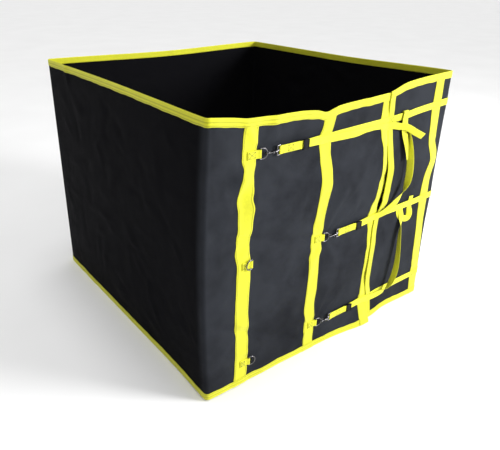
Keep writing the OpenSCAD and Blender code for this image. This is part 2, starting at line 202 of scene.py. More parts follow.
def folds(u, z, count, u_range, z_range, long_mm, amp_mm, lean):
    """Soft creases scattered over a wall: rounded lines that fade at their ends."""
    out = np.zeros_like(u)
    for _ in range(count):
        cu, cz = rng.uniform(*u_range), rng.uniform(*z_range)
        a = rng.normal(lean, 0.45)
        half = rng.uniform(0.5, 1.0) * long_mm * MM
        wide = rng.uniform(9, 22) * MM
        amp = rng.uniform(0.3, 1.0) * amp_mm * MM * rng.choice([-1, 1], p=[0.35, 0.65])
        du, dz = u - cu, z - cz
        along, across = du * math.cos(a) + dz * math.sin(a), -du * math.sin(a) + dz * math.cos(a)
        bend = across + 0.12 * half * (along / half) ** 2 * rng.choice([-1, 1])
        out += amp * np.exp(-(bend / wide) ** 2) * np.exp(-(along / half) ** 2 * 1.6)
    return out


def drawn(u, z, at, angles, reach, amp_mm):
    """Creases that run out from a point where a strap or ring pulls the cloth."""
    out = np.zeros_like(u)
    for a in angles:
        c, s = math.cos(math.radians(a)), math.sin(math.radians(a))
        along, across = (u - at[0]) * c + (z - at[1]) * s, -(u - at[0]) * s + (z - at[1]) * c
        wide = 6 * MM + 0.10 * np.clip(along, 0, None)
        fade = step(along, 10 * MM, 45 * MM) * (1 - step(along, reach * 0.45, reach))
        out += amp_mm * MM * np.exp(-(across / wide) ** 2) * fade
    return out


class Table:
    """Values on a fine regular grid, read back by bilinear interpolation."""
    LOWEST = -0.02

    def __init__(self, u0, u1, fill):
        self.u0 = u0
        us, zs = np.arange(u0, u1 + CELL, CELL), np.arange(self.LOWEST, 1.0, CELL)
        self.v = fill(*np.meshgrid(us, zs, indexing="ij"))

    def __call__(self, u, z):
        v = self.v
        i = np.clip((np.asarray(u) - self.u0) / CELL, 0, v.shape[0] - 1.001)
        j = np.clip((np.asarray(z) - self.LOWEST) / CELL, 0, v.shape[1] - 1.001)
        i0, j0 = i.astype(int), j.astype(int)
        fi, fj = i - i0, j - j0
        return ((v[i0, j0] * (1 - fi) + v[i0 + 1, j0] * fi) * (1 - fj)
                + (v[i0, j0 + 1] * (1 - fi) + v[i0 + 1, j0 + 1] * fi) * fj)


def columns(cols, uu, zz):
    """The outward distances that a list of columns gives on a grid, in metres."""
    heights = np.clip(zz[0] / MM, 0, COVER_H / MM)
    at = [pchip(heights, [z for z, _ in pairs], [b for _, b in pairs]) for _, pairs in cols]
    return pchip(uu[:, 0] / MM, [x for x, _ in cols], np.array(at)) * MM


# Hardware that the cloth keeps clear of: strap level, from x, to x; and the two free rings
HARD = [(0.829, -0.445, -0.165), (0.468, -0.140, 0.135), (0.110, -0.140, 0.135)]
SPOTS = [(-0.412, 0.471), (-0.412, 0.090)]


def clear(uu, zz):
    """0 where hardware lies against the cloth, 1 away from it."""
    m = np.ones_like(uu)
    for z, a, b in HARD:
        m *= 1 - np.exp(-((zz - z) / 0.026) ** 4) * step(uu, a - 0.05, a) * (1 - step(uu, b, b + 0.06))
    for x, z in SPOTS:
        m *= 1 - np.exp(-(((uu - x) / 0.048) ** 4 + ((zz - z) / 0.030) ** 4))
    return m


# Height of each strap's middle along the strapped face, as (x, z) in mm
STRAP_LINES = [
    [(-231, 829), (-195, 829), (212, 838), (514, 860), (567, 862)],
    [(71, 468), (107, 468), (212, 474), (514, 476), (567, 478)],
    [(71, 110), (107, 110), (212, 110), (514, 110), (567, 114)],
]


def strap_z(k, x):
    return np.interp(np.asarray(x) / MM, *zip(*STRAP_LINES[k])) * MM


def pressed(uu, zz):
    """0 where a strap holds the cloth down, 1 away from the straps."""
    m = np.ones_like(uu)
    for k, x0 in ((0, -0.19), (1, 0.10), (2, 0.10)):
        m *= 1 - np.exp(-((zz - strap_z(k, uu)) / 0.020) ** 4) * step(uu, x0 - 0.03, x0)
    return m


# Where creases are drawn out from: (x, z), their directions in degrees, their reach in m, their height in mm
INNER_PULLS = [
    ((-0.384, 0.829), (38, 62, 120, 200, 232, 318), 0.20, 3.6),
    ((-0.082, 0.468), (35, 70, 118, 150, 208, 244, 300, 330), 0.22, 3.8),
    ((-0.082, 0.110), (40, 75, 112, 150, 178, 205), 0.20, 3.4),
    ((0.200, 0.838), (198, 222, 250), 0.22, 3.4),
    ((0.205, 0.474), (118, 140, 162, 198, 225), 0.22, 3.4),
    ((0.205, 0.110), (120, 145, 200), 0.18, 2.2),
    ((-0.130, 0.780), (209,), 0.36, -5.0),
    ((-0.130, 0.780), (218,), 0.34, 4.0),
    ((-0.420, 0.545), (358,), 0.36, -3.5),
    ((-0.130, 0.330), (196,), 0.34, 4.0),
]
FLAP_PULLS = [
    ((0.240, 0.474), (20, 48, 75, 300, 332), 0.20, 2.6),
    ((0.240, 0.840), (300, 325, 345), 0.20, 2.4),
    ((0.240, 0.110), (20, 45, 70), 0.16, 2.2),
]
# Where the sheet dips between two layers of the load: z at DIP_X, fall per m, depth in mm, half width
DIP_X = -0.384
DIPS = [(0.548, 0.35, 8.0, 0.020), (0.198, 0.58, 5.0, 0.018)]


def fill_inner(uu, zz):
    w = folds(uu, zz, 60, (-0.56, 0.20), (0.03, 0.93), 75, 3.4, 0.3)
    w += folds(uu, zz, 30, (-0.56, 0.20), (0.55, 0.95), 90, 3.4, 1.3)
    for pull in INNER_PULLS:
        w += drawn(uu, zz, *pull)
    near = 1 - step(uu, -0.36, -0.02)
    for z, fall, depth, half in DIPS:
        w -= depth * MM * np.exp(-((zz - z + fall * (uu - DIP_X)) / half) ** 2) * near
    w *= pressed(uu, zz) * step(uu, -0.567, -0.53)
    return np.maximum(columns(INNER, uu, zz) + w, -0.4 * MM) * clear(uu, zz)


def fill_flap(uu, zz):
    w = folds(uu, zz, 26, (0.25, 0.55), (0.03, 0.93), 60, 2.2, 0.4)
    for pull in FLAP_PULLS:
        w += drawn(uu, zz, *pull)
    w *= step(uu, 0.235, 0.27) * (1 - step(uu, 0.53, 0.565))
    return np.maximum(columns(FLAP, uu, zz) + w * pressed(uu, zz), 0)


def wall_fill(lo, hi, lobes, count):
    """A plain wall: soft lobes of (along, height, two radii, outward in mm), and creases."""
    def fill(uu, zz):
        b = np.zeros_like(uu)
        for cu, cz, ru, rz, a in lobes:
            b += a * MM * np.exp(-((uu - cu) / ru) ** 2 - ((zz - cz) / rz) ** 2)
        b += folds(uu, zz, count, (lo + 0.05, hi - 0.05), (0.03, 0.94), 90, 3.6, 0.1)
        b += folds(uu, zz, count // 2, (lo + 0.05, hi - 0.05), (0.03, 0.94), 110, 3.2, 1.4)
        return b * step(uu, lo, lo + 0.06) * (1 - step(uu, hi - 0.06, hi))
    return fill


LEFT_LOBES = [(-0.30, 0.62, 0.22, 0.25, 9), (0.15, 0.45, 0.28, 0.28, 6),
              (0.42, 0.25, 0.15, 0.2, 5), (-0.1, 0.15, 0.3, 0.12, 4)]
BACK_LOBES = [(-0.2, 0.55, 0.25, 0.3, 9), (0.25, 0.4, 0.2, 0.3, 7)]
RIGHT_LOBES = [(0.2, 0.5, 0.3, 0.3, 9), (-0.2, 0.3, 0.2, 0.2, 5)]
t_inner = Table(-0.570, 0.215, fill_inner)
t_flap = Table(0.180, 0.570, fill_flap)
t_left = Table(y_f, y_b, wall_fill(y_f, y_b, LEFT_LOBES, 60))
t_back = Table(-half_w, half_w, wall_fill(-half_w, half_w, BACK_LOBES, 50))
t_right = Table(y_f, y_b, wall_fill(y_f + 0.10, y_b, RIGHT_LOBES, 60))


# ------------------------------------------------------------------ the outline, with rounded corners
R = 0.014
ARC = math.pi * R / 2
L1 = END_X + half_w - R
L3 = (y_b - y_f) - 2 * R
L5 = 2 * half_w - 2 * R
L9 = half_w - R - FLAP_X
CUTS = np.cumsum([0, L1, ARC, L3, ARC, L5, ARC, L3, ARC, L9])
U_END = CUTS[-1]
WALLS = ["inner", "left", "back", "right", "flap"]

# True heights of the top and bottom edges along each wall, in mm
TOP = {
    "inner": [(-567, 957), (-490, 949), (-422, 939), (-330, 936), (-240, 934), (-170, 927), (-128, 917),
              (-100, 923), (-70, 929), (50, 933), (150, 935), (212, 936)],
    "left": [(-566, 957), (-300, 962), (100, 966), (609, 965)],
    "back": [(-567, 965), (0, 957), (567, 967)],
    "right": [(-566, 975), (0, 965), (609, 967)],
    "flap": [(180, 938), (212, 941), (260, 953), (314, 964), (436, 972), (567, 975)],
}
LOW = {
    "inner": [(-567, 6), (-422, 6), (-270, 7), (-150, 3), (-42, 0.8), (60, 0.8), (150, 0.8), (212, 0.8)],
    "left": [(-566, 6), (-200, 1.5), (200, 0.8), (609, 1)],
    "back": [(-567, 1), (-100, 0.8), (200, 4), (567, 2)],
    "right": [(-566, 4), (0, 1), (609, 2)],
    "flap": [(180, 3), (212, 4), (258, 8), (324, 17), (390, 13), (452, 8), (517, 5), (567, 4)],
}
# Shifts along x, as (z, shift) in mm. The front left corner leans out, and the straps draw in the right one
LEFT_CORNER = [(-20, -8), (10, -9), (200, -15), (406, -18), (600, -15), (731, -10), (850, -3), (957, 2),
               (990, 2)]
RIGHT_CORNER = [(-20, 0), (60, -2), (114, 0), (210, -4), (330, -6), (420, -3), (478, 0), (540, -2), (640, -3),
                (740, -3), (810, -2), (862, 0), (910, -1), (1000, 0)]
# The sheet's two free ends also slide; the flap rides over the inner end between the lower two straps
INNER_END = [(0, 0), (110, 0), (215, 2), (300, 3), (400, 2), (460, -2), (510, -7), (560, -4), (640, -2),
             (700, 0), (760, 1), (838, 0), (965, -1)]
FLAP_END = [(0, -1), (70, -1), (110, -4), (138, -14), (170, -24), (215, -30), (300, -31), (380, -30),
            (430, -26), (455, -21), (474, -13), (500, -1), (520, 3), (560, -5), (600, -7), (660, -6),
            (735, -8), (800, -9), (838, -8), (870, -15), (900, -20), (965, -22)]


def outline(U):
    """(wall number, wall coordinate, x, y, normal x, normal y) for each U."""
    U = np.asarray(U, float)
    seg = np.clip(np.searchsorted(CUTS, U, side="right") - 1, 0, 8)
    t = U - CUTS[seg]
    c, x, y, nx, ny = (np.zeros_like(U) for _ in range(5))
    wall = np.zeros(U.shape, int)

    def put(part, number, *values):
        here = seg == part
        wall[here] = number
        for array, value in zip((c, x, y, nx, ny), values):
            array[here] = np.broadcast_to(value, U.shape)[here]

    put(0, 0, END_X - t, END_X - t, y_f, 0, -1)
    put(2, 1, y_f + R + t, -half_w, y_f + R + t, -1, 0)
    put(4, 2, -half_w + R + t, -half_w + R + t, y_b, 0, 1)
    put(6, 3, y_b - R - t, half_w, y_b - R - t, 1, 0)
    put(8, 4, half_w - R - t, half_w - R - t, y_f, 0, -1)
    corners = [(1, -half_w + R, y_f + R, -90, 0, -half_w), (3, -half_w + R, y_b - R, 180, 1, y_b),
               (5, half_w - R, y_b - R, 90, 2, half_w), (7, half_w - R, y_f + R, 0, 3, y_f)]
    for part, cx, cy, start, number, at in corners:
        ang = np.radians(start) - t / R
        put(part, number, at, cx + R * np.cos(ang), cy + R * np.sin(ang), np.cos(ang), np.sin(ang))
    return wall, c, x, y, nx, ny


def outward(U):
    """The direction straight out from the wall at each U."""
    nx, ny = outline(U)[4:]
    return np.stack([nx, ny, 0 * nx], -1)


def edge_z(U, heights=TOP):
    """Height of the top edge at each U, or of the bottom edge."""
    wall, c = outline(U)[:2]
    out = np.zeros_like(np.asarray(U, float))
    for i, name in enumerate(WALLS):
        m = wall == i
        out[m] = curve(c[m], heights[name])
    return out


def slide_flap(x, z):
    return curve(z, FLAP_END) * (1 - step(x, 0.240, 0.420))


def place(U, z, off):
    """Point on the wrap: U along the outline, z the true height, off outward from the mesh's outer face."""
    U, z, off = np.broadcast_arrays(np.asarray(U, float), np.asarray(z, float), np.asarray(off, float))
    wall, c, x, y, nx, ny = outline(U)
    b, sx = np.zeros_like(U), np.zeros_like(U)
    for i, table in enumerate([t_inner, t_left, t_back, t_right, t_flap]):
        m = wall == i
        b[m] = table(c[m], z[m])
    m = wall == 0
    sx[m] = curve(z[m], INNER_END) * step(c[m], 0.08, 0.19)
    m = wall == 4
    sx[m] = slide_flap(c[m], z[m])
    for corner, shifts, reach in ((-half_w, LEFT_CORNER, 0.10), (half_w, RIGHT_CORNER, 0.14)):
        fade = np.exp(-((x - corner) / reach) ** 2) * np.exp(-((y - y_f) / 0.16) ** 2)
        sx = sx + curve(z, shifts) * fade
    return np.stack([x + sx + nx * (b + off), y + ny * (b + off), z + 0 * x], -1)


def u_inner(x):
    return END_X - np.asarray(x, float)


def u_flap(x):
    return U_END - (np.asarray(x, float) - FLAP_X)


# ------------------------------------------------------------------ mesh builders
def new_object(name, verts, faces, uv=None):
    """A smooth mesh object. uv holds metres across and along the cloth, one pair for each vertex."""
    me = bpy.data.meshes.new(name)
    me.from_pydata(np.asarray(verts, float).tolist(), [], [[int(i) for i in f] for f in faces])
    me.validate()
    if uv is not None:
        layer = me.uv_layers.new(name="weave")
        loops = np.zeros(len(me.loops), int)
        me.loops.foreach_get("vertex_index", loops)
        layer.data.foreach_set("uv", np.asarray(uv, float)[loops].astype(np.float32).ravel())
    me.polygons.foreach_set("use_smooth", np.ones(len(me.polygons), bool))
    me.update()
    return link(bpy.data.objects.new(name, me))


def fix_normals(ob):
    bm = bmesh.new()
    bm.from_mesh(ob.data)
    bmesh.ops.recalc_face_normals(bm, faces=bm.faces)
    bm.to_mesh(ob.data)
    bm.free()


def slab(name, mid, normal, thick, across, along):
    """A closed strip of cloth with rounded edges, from grids of middle points and normals (length, width, 3).

    across and along are metres measured on the flat cloth, which place the weave.
    """
    n, w = mid.shape[:2]
    uv = np.stack(np.broadcast_arrays(across, along), -1)
    front, back = mid + normal * thick / 2, mid - normal * thick / 2
    first, last = (mid[:, a] + unit(mid[:, a] - mid[:, b]) * thick * 0.42 for a, b in ((0, 1), (-1, -2)))
    ring = np.concatenate([front, last[:, None], back[:, ::-1], first[:, None]], 1)
    ring_uv = np.concatenate([uv, uv[:, -1:], uv[:, ::-1], uv[:, :1]], 1)
    idx = np.arange(n * ring.shape[1]).reshape(n, -1)
    a, b = idx[:-1], idx[1:]
    faces = np.stack([b, np.roll(b, -1, 1), np.roll(a, -1, 1), a], -1).reshape(-1, 4).tolist()
    # Slightly rounded ends: a row of points past each end, joined to its front and back
    tips = []
    for row, inside, turn in ((0, 1, -1), (n - 1, n - 2, 1)):
        tips.append(mid[row] + unit(mid[row] - mid[inside]) * thick * 0.3)
        t = idx.size + w * (len(tips) - 1) + np.arange(w)
        f, k = idx[row, :w], idx[row, w + 1:2 * w + 1][::-1]
        far, near = idx[row, w], idx[row, -1]
        caps = np.stack([f[:-1], f[1:], t[1:], t[:-1]], -1).tolist()
        caps += np.stack([t[:-1], t[1:], k[1:], k[:-1]], -1).tolist()
        caps += [[f[-1], far, t[-1]], [t[-1], far, k[-1]], [near, f[0], t[0]], [near, t[0], k[0]]]
        faces += [face[::turn] for face in caps]
    verts = np.concatenate([ring.reshape(-1, 3)] + tips)
    uvs = np.concatenate([ring_uv.reshape(-1, 2), uv[0], uv[-1]])
    ob = new_object(name, verts, faces, uvs)
    fix_normals(ob)
    return ob


def grid_normals(mid, flip):
    """Normals of a grid of points, turned over wherever flip(normals) is true."""
    nor = unit(np.cross(np.gradient(mid, axis=0), np.gradient(mid, axis=1)))
    return nor * np.where(flip(nor), -1, 1)


def spline(points, spacing):
    """Centripetal-like Catmull-Rom through points, evenly sampled.

    Gives the samples, their distance along the curve, and their place among the given points.
    """
    p = np.asarray(points, float)
    q = np.concatenate([[2 * p[0] - p[1]], p, [2 * p[-1] - p[-2]]])
    out, par = [], []
    for i in range(len(p) - 1):
        a, b, c, d = q[i:i + 4]
        n = max(4, int(np.linalg.norm(c - b) / (spacing * 0.3)))
        t = np.linspace(0, 1, n, endpoint=False)[:, None]
        dab, dbc, dcd = (max(np.linalg.norm(v) ** 0.5, 1e-6) for v in (b - a, c - b, d - c))
        m1 = (c - b) + dbc * ((b - a) / dab - (c - a) / (dab + dbc))
        m2 = (c - b) + dbc * ((d - c) / dcd - (d - b) / (dbc + dcd))
        out.append((2 * t ** 3 - 3 * t ** 2 + 1) * b + (t ** 3 - 2 * t ** 2 + t) * m1
                   + (-2 * t ** 3 + 3 * t ** 2) * c + (t ** 3 - t ** 2) * m2)
        par.append(i + t[:, 0])
    dense, par = np.concatenate(out + [p[-1:]]), np.concatenate(par + [[len(p) - 1.0]])
    s = run_along(dense)
    at = np.linspace(0, s[-1], max(3, int(s[-1] / spacing) + 1))
    samples = np.stack([np.interp(at, s, dense[:, i]) for i in range(3)], -1)
    return samples, at, np.interp(at, s, par)


OUTWARD = np.array([0.0, -1.0, 0.0])
# The strapped face's (x, out, z) is a mirror image of (x, y, z), so leans turn the other way
MIRROR = -1
# Below this sine of the angle between path and outward, webbing keeps the turn that it had
STEEP = 0.4


def widths(path):
    """Directions along a path, and width directions that lie flat against the wall where they can."""
    t = unit(np.gradient(path, axis=0))
    w, out = np.array([0.0, 0.0, 1.0]), []
    for d in t:
        flat = np.cross(OUTWARD, d)
        w = w - (w @ d) * d if np.linalg.norm(flat) < STEEP else flat * (1 if flat @ w > 0 else -1)
        w = w / np.linalg.norm(w)
        out.append(w)
    return t, np.array(out)


# Narrow webbing is this many cells wide; its middle line and its two stitch lines, in cells
WEB_CELLS = 8
MIDDLE = 4
STITCH_LINES = 1.0, 7.0


def ribbon(name, path, at, width, thick, start, lean=0.0, cup=0.0):
    """Webbing along a path in space. lean turns it from flat, in degrees; cup bows it across its width."""
    t, w = widths(path)
    turn = np.radians(np.broadcast_to(lean, len(path)))[:, None]
    w = w * np.cos(turn) + np.cross(t, w) * MIRROR * np.sin(turn)
    n = np.cross(t, w)
    k = np.linspace(-0.5, 0.5, WEB_CELLS + 1)
    bow = np.broadcast_to(cup, len(path))[:, None] * (1 - 4 * k[None] ** 2)
    mid = path[:, None] + w[:, None] * (k * width)[None, :, None] + n[:, None] * bow[..., None]
    nor = np.repeat(n[:, None], WEB_CELLS + 1, 1)
    return slab(name, mid, nor, thick, ((k + 0.5) * width)[None], (at + start)[:, None]), mid, nor


# ------------------------------------------------------------------ stitching
threads = {}
# One stitch is four rings of five points: places along it, lift off the cloth and thickness, as shares
STITCH_ALONG = np.array([-0.5, -0.3, 0.3, 0.5])
STITCH_LIFT = np.array([-0.35, 0.45, 0.45, -0.35])
STITCH_THICK = np.array([0.5, 1.0, 1.0, 0.5])
STITCH_ANGLES = np.radians(np.arange(5) * 72 + 90)


def stitches(group, line, normals, pitch=4.6 * MM, length=3.4 * MM, r=0.33 * MM):
    """A row of lockstitches along a polyline of surface points."""
    s = run_along(line)
    count = int(s[-1] / pitch)
    if count < 1:
        return
    centres = (np.arange(count) + 0.5) * s[-1] / count
    at = (centres[:, None] + STITCH_ALONG[None] * length).ravel()
    p, n = (np.stack([np.interp(at, s, values) for values in grid.T], -1).reshape(count, 4, 3)
            for grid in (line, normals))
    n = unit(n)
    b = unit(np.cross(n, np.broadcast_to(unit(p[:, 3] - p[:, 0])[:, None], n.shape)))
    thick = STITCH_THICK[None, :, None, None] * r
    cos, sin = (f(STITCH_ANGLES)[None, None, :, None] for f in (np.cos, np.sin))
    centre = p + n * STITCH_LIFT[None, :, None] * r
    ring = centre[:, :, None] + thick * (cos * b[:, :, None] + sin * n[:, :, None])
    threads.setdefault(group, []).append(ring)


def finish_stitches(group, mat):
    """One object from all the stitches of a group."""
    rings = np.concatenate(threads[group])
    first = (np.arange(len(rings)) * 20)[:, None, None]
    around = [[i * 5 + j, i * 5 + (j + 1) % 5, (i + 1) * 5 + (j + 1) % 5, (i + 1) * 5 + j]
              for i in range(3) for j in range(5)]
    quads = (np.array(around)[None] + first).reshape(-1, 4).tolist()
    caps = (np.array([[0, 4, 3, 2, 1], [15, 16, 17, 18, 19]])[None] + first).reshape(-1, 5).tolist()
    finish_piece(new_object("stitching_" + group, rings.reshape(-1, 3), quads + caps), mat, "webbing", "wrap")


def on_grid(mid, nor, ij, thick):
    """Points on a band's outer face for fractional (length, width) positions."""
    i, j = (np.clip(ij[:, a], 0, mid.shape[a] - 1.001) for a in (0, 1))
    i0, j0 = i.astype(int), j.astype(int)
    fi, fj = (i - i0)[:, None], (j - j0)[:, None]

    def mix(g):
        low = g[i0, j0] * (1 - fi) + g[i0 + 1, j0] * fi
        high = g[i0, j0 + 1] * (1 - fi) + g[i0 + 1, j0 + 1] * fi
        return low * (1 - fj) + high * fj

    n = unit(mix(nor))
    return mix(mid) + n * thick / 2, n


def row_on(group, mid, nor, thick, j):
    """A row of stitches along a band, j cells from its first edge."""
    last = len(mid) - 2
    i = np.linspace(1, last, (last - 1) * 2)
    stitches(group, *on_grid(mid, nor, np.stack([i, 0 * i + j], -1), thick))


def box_x(group, mid, nor, thick, i0, i1):
    """A square of stitches with a cross in it, between two rows of a webbing's grid."""
    j0, j1 = STITCH_LINES
    a, b, c, d = (i0, j0), (i1, j0), (i1, j1), (i0, j1)
    t = np.linspace(0, 1, 24)[:, None]
    for start, end in ((a, b), (b, c), (c, d), (d, a), (a, c), (b, d)):
        ij = np.array(start)[None] * (1 - t) + np.array(end)[None] * t
        stitches(group, *on_grid(mid, nor, ij, thick), pitch=3.8 * MM, length=3.2 * MM, r=0.6 * MM)


# ------------------------------------------------------------------ materials
class Nodes:
    """Short ways to add nodes to a tree. A value is a socket to join, a number, or a colour."""
    def __init__(self, tree):
        self.tree = tree

    def new(self, kind, **settings):
        n = self.tree.nodes.new("ShaderNode" + kind)
        for key, value in settings.items():
            setattr(n, key, value)
        return n

    def feed(self, socket, value):
        if isinstance(value, (int, float)):
            socket.default_value = value
        elif isinstance(value, tuple):
            socket.default_value = (*value, 1)
        else:
            self.tree.links.new(value, socket)

    def math(self, op, *values):
        n = self.new("Math", operation=op)
        for socket, value in zip(n.inputs, values):
            self.feed(socket, value)
        return n.outputs[0]

    def ramp(self, value, *stops):
        """A colour ramp over (position, colour) or (position, grey level) stops."""
        n = self.new("ValToRGB")
        elements = n.color_ramp.elements
        stops = [(p, (c,) * 3 if isinstance(c, float) else c) for p, c in stops]
        elements[0].position, elements[1].position = stops[0][0], stops[-1][0]
        for p, _ in stops[1:-1]:
            elements.new(p)
        for element, (_, c) in zip(elements, stops):
            element.color = (*c, 1)
        self.feed(n.inputs[0], value)
        return n.outputs[0]

    def position(self):
        """Place on the object, in metres."""
        return self.new("TexCoord").outputs["Object"]

    def split(self, vector):
        n = self.new("SeparateXYZ")
        self.feed(n.inputs[0], vector)
        return n.outputs

    def weave(self):
        """Metres across and along the cloth."""
        return self.split(self.new("UVMap", uv_map="weave").outputs[0])[:2]

    def noise(self, at, scale, detail, rough):
        n = self.new("TexNoise")
        for name, value in (("Scale", scale), ("Detail", detail), ("Roughness", rough), ("Vector", at)):
            self.feed(n.inputs[name], value)
        return n.outputs[0]

    def mix(self, share, a, b, kind="MIX"):
        n = self.new("Mix", data_type="RGBA", blend_type=kind)
        for i, value in ((0, share), (6, a), (7, b)):
            self.feed(n.inputs[i], value)
        return n.outputs[2]

    def bump(self, height, strength, distance, before=None):
        n = self.new("Bump")
        for name, value in (("Strength", strength), ("Distance", distance), ("Height", height)):
            self.feed(n.inputs[name], value)
        if before is not None:
            self.feed(n.inputs["Normal"], before)
        return n.outputs[0]


def new_material(name):
    """(material, its nodes, the sockets of its shader)"""
    m = bpy.data.materials.new(name)
    m.use_nodes = True
    m.node_tree.nodes.clear()
    nodes = Nodes(m.node_tree)
    shader = nodes.new("BsdfPrincipled")
    nodes.feed(nodes.new("OutputMaterial").inputs[0], shader.outputs[0])
    return m, nodes, shader.inputs


def scaled(colour, share):
    return tuple(c * share for c in colour)


def webbing_material(name, base, dirt, seams=()):
    """Ribbed polyester webbing: lengthwise ribs crossed by fine picks, with painted shade in the grooves
    between them and a little soiling.

    seams are the distances from one selvedge at which a stitch row draws the webbing down; painted shade
    darkens the webbing along each row.
    """
    m, n, shader = new_material(name)
    u, v = n.weave()
    rib_w, pick_w, seam_w = 0.0021, 0.0016, 0.0028
    rib = n.math("ABSOLUTE", n.math("SINE", n.math("MULTIPLY", u, math.pi / rib_w)))
    offset = n.math("MULTIPLY", n.math("FLOOR", n.math("DIVIDE", u, rib_w)), math.pi / 2)
    along = n.math("ADD", n.math("MULTIPLY", v, math.pi / pick_w), offset)
    pick = n.math("MULTIPLY_ADD", n.math("ABSOLUTE", n.math("SINE", along)), 0.45, 0.55)
    height = n.math("MULTIPLY", n.math("POWER", rib, 0.6), pick)
    at = n.position()
    big, small = n.noise(at, 9, 4, 0.6), n.noise(at, 140, 3, 0.6)
    # Painted shade: the base colour darkens where the weave is low, in the grooves between ribs and picks
    col = n.mix(n.math("MULTIPLY_ADD", height, 0.75, 0.25), scaled(base, 0.66), base)
    worn = n.ramp(big, (0.35, (1, 1, 1)), (0.72, (1 - dirt, 1 - dirt * 1.15, 1 - dirt * 0.5)))
    col = n.mix(1.0, col, worn, "MULTIPLY")
    col = n.mix(1.0, col, n.ramp(small, (0.3, (0.93, 0.93, 0.95)), (0.6, (1, 1, 1))), "MULTIPLY")
    for seam in seams:
        near = n.math("DIVIDE", n.math("ABSOLUTE", n.math("SUBTRACT", u, seam)), seam_w)
        dip = n.math("MAXIMUM", n.math("SUBTRACT", 1.0, n.math("SMOOTH_MIN", near, 1.0, 0.2)), 0.0)
        # Painted shade along the stitch row, in the groove that it draws down
        col = n.mix(n.math("MULTIPLY", dip, 0.80), col, scaled(base, 0.45))
        height = n.math("SUBTRACT", height, dip)
    n.feed(shader["Base Color"], col)
    n.feed(shader["Roughness"], n.ramp(big, (0.2, 0.50), (0.8, 0.68)))
    shader["Sheen Weight"].default_value = 0.12
    shader["Sheen Roughness"].default_value = 0.5
    shader["Specular IOR Level"].default_value = 0.22
    n.feed(shader["Normal"], n.bump(small, 0.25, 0.0006, n.bump(height, 0.7, 0.0005)))
    return m


def mesh_material(name):
    """Coated open mesh: round black yarns that cross, dark between them, and lighter on the strapped face,
    partly dust and partly a painted sheen of the key light.
    """
    m, n, shader = new_material(name)
    pitch = 0.0024
    across, along = (n.math("ABSOLUTE", n.math("COSINE", n.math("MULTIPLY", a, math.pi / pitch)))
                     for a in n.weave())
    yarn = n.math("MAXIMUM", n.math("POWER", across, 1.6), n.math("POWER", along, 1.6))
    at = n.position()
    big, mid, fine = n.noise(at, 3.0, 5, 0.6), n.noise(at, 22, 4, 0.6), n.noise(at, 420, 2, 0.5)
    dark = n.ramp(yarn, (0.25, (0.001, 0.001, 0.0015)), (0.62, (0.003, 0.003, 0.0042)),
                  (1.0, (0.0065, 0.0065, 0.008)))
    # Colour of the strapped face: dust plus a painted sheen, lighter than the other faces
    dust_and_sheen = n.ramp(yarn, (0.25, (0.0115, 0.0122, 0.0152)), (1.0, (0.0345, 0.0380, 0.0455)))
    # The strapped face is painted lighter in soft patches: partly dust, and partly a painted sheen that stands
    # in for the key light's reflection. The lightening grows a little towards the top
    _, y, z = n.split(at)
    front = n.new("MapRange", interpolation_type="SMOOTHSTEP")
    for i, value in enumerate((y, y_f + 0.045, y_f + 0.004, 0.0, 1.0)):
        n.feed(front.inputs[i], value)
    patches = n.math("MULTIPLY_ADD", n.noise(at, 7.0, 5, 0.65), 1.5, n.math("MULTIPLY_ADD", big, 1.5, -0.66))
    patches = n.math("MULTIPLY", patches, n.math("MULTIPLY_ADD", z, 0.25, 0.84))
    col = n.mix(n.math("MULTIPLY", front.outputs[0], patches), dark, dust_and_sheen)
    n.feed(shader["Base Color"], n.mix(n.math("MULTIPLY", mid, 0.03), col, (0.060, 0.059, 0.057)))
    n.feed(shader["Roughness"], n.ramp(mid, (0.2, 0.46), (0.8, 0.62)))
    shader["Specular IOR Level"].default_value = 0.008
    weave = n.bump(mid, 0.18, 0.004, n.bump(yarn, 0.6, 0.0006))
    n.feed(shader["Normal"], n.bump(fine, 0.15, 0.0003, weave))
    return m


def thread_material(name, base):
    """Twisted sewing thread."""
    m, n, shader = new_material(name)
    fuzz = n.noise(n.position(), 900, 2, 0.5)
    n.feed(shader["Base Color"], n.ramp(fuzz, (0.3, scaled(base, 0.8)), (0.7, base)))
    shader["Roughness"].default_value = 0.5
    n.feed(shader["Normal"], n.bump(fuzz, 0.3, 0.0003))
    return m


def metal_material(name, base, rough, brushed=0.0):
    """Plated wire: bright, with faint draw marks, rub marks and a duller film in places."""
    m, n, shader = new_material(name)
    at = n.position()
    big, fine = n.noise(at, 60, 4, 0.6), n.noise(at, 900, 3, 0.6)
    n.feed(shader["Base Color"], n.ramp(big, (0.3, base), (0.75, scaled(base, 0.82))))
    shader["Metallic"].default_value = 1.0
    n.feed(shader["Roughness"], n.ramp(big, (0.3, rough), (0.8, rough + 0.18)))
    n.feed(shader["Normal"], n.bump(fine, 0.12 + brushed, 0.0002))
    return m


def plastic_material(name, base):
    """Moulded plastic: fine spark-eroded grain, with paler rubbed patches."""
    m, n, shader = new_material(name)
    at = n.position()
    grain, rub = n.noise(at, 1500, 2, 0.5), n.noise(at, 90, 4, 0.65)
    n.feed(shader["Base Color"], n.ramp(rub, (0.4, base), (0.8, tuple(c * 2.4 + 0.002 for c in base))))
    n.feed(shader["Roughness"], n.ramp(rub, (0.3, 0.34), (0.8, 0.52)))
    shader["Specular IOR Level"].default_value = 0.10
    n.feed(shader["Normal"], n.bump(grain, 0.25, 0.0002))
    return m


YELLOW = (0.77, 0.77, 0.024)
m_binding = webbing_material("webbing_yellow_binding", YELLOW, 0.10, (0.0035, 0.0135))
m_upright = webbing_material("webbing_yellow_upright", YELLOW, 0.10, (0.0045, 0.0455))
m_strap = webbing_material("webbing_yellow_strap", (0.80, 0.80, 0.027), 0.07)
m_mesh = mesh_material("mesh_black")
m_thread = thread_material("thread_yellow", (0.66, 0.62, 0.035))
